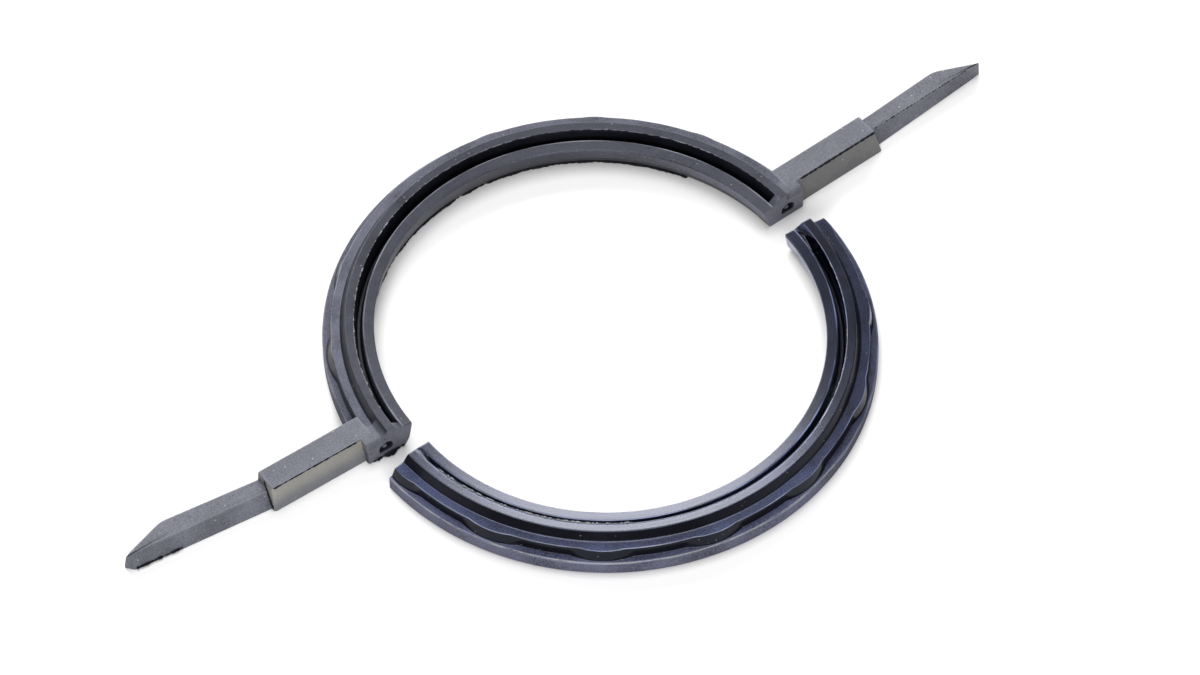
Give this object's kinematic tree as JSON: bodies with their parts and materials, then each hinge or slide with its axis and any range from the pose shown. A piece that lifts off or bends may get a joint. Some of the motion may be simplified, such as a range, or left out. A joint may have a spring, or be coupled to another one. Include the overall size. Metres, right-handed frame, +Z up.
{
  "type": "split rear main crankshaft seal",
  "caption": "Split rubber lip seal for the rear end of a crankshaft: a plain half for the block and a half for the cap with side seal ears.",
  "frame": {"origin": "on the surface the halves lie on, midway between the centres of the two halves", "axes": "+X along the parting line to the right ear, +Y to the cap half, +Z up out of the stepped, grooved face"},
  "size_m": [0.1817, 0.0964, 0.0064],
  "materials": {
    "seal_rubber": "satin black rubber with a grey bloom and a little trimming flash",
    "seal_rubber_glossy": "oiled black rubber, glossy on the lip and the steps"
  },
  "bodies": {
    "root": {"cap_half_with_ears": "seal_rubber", "block_half": "seal_rubber_glossy"}
  },
  "joints": []
}
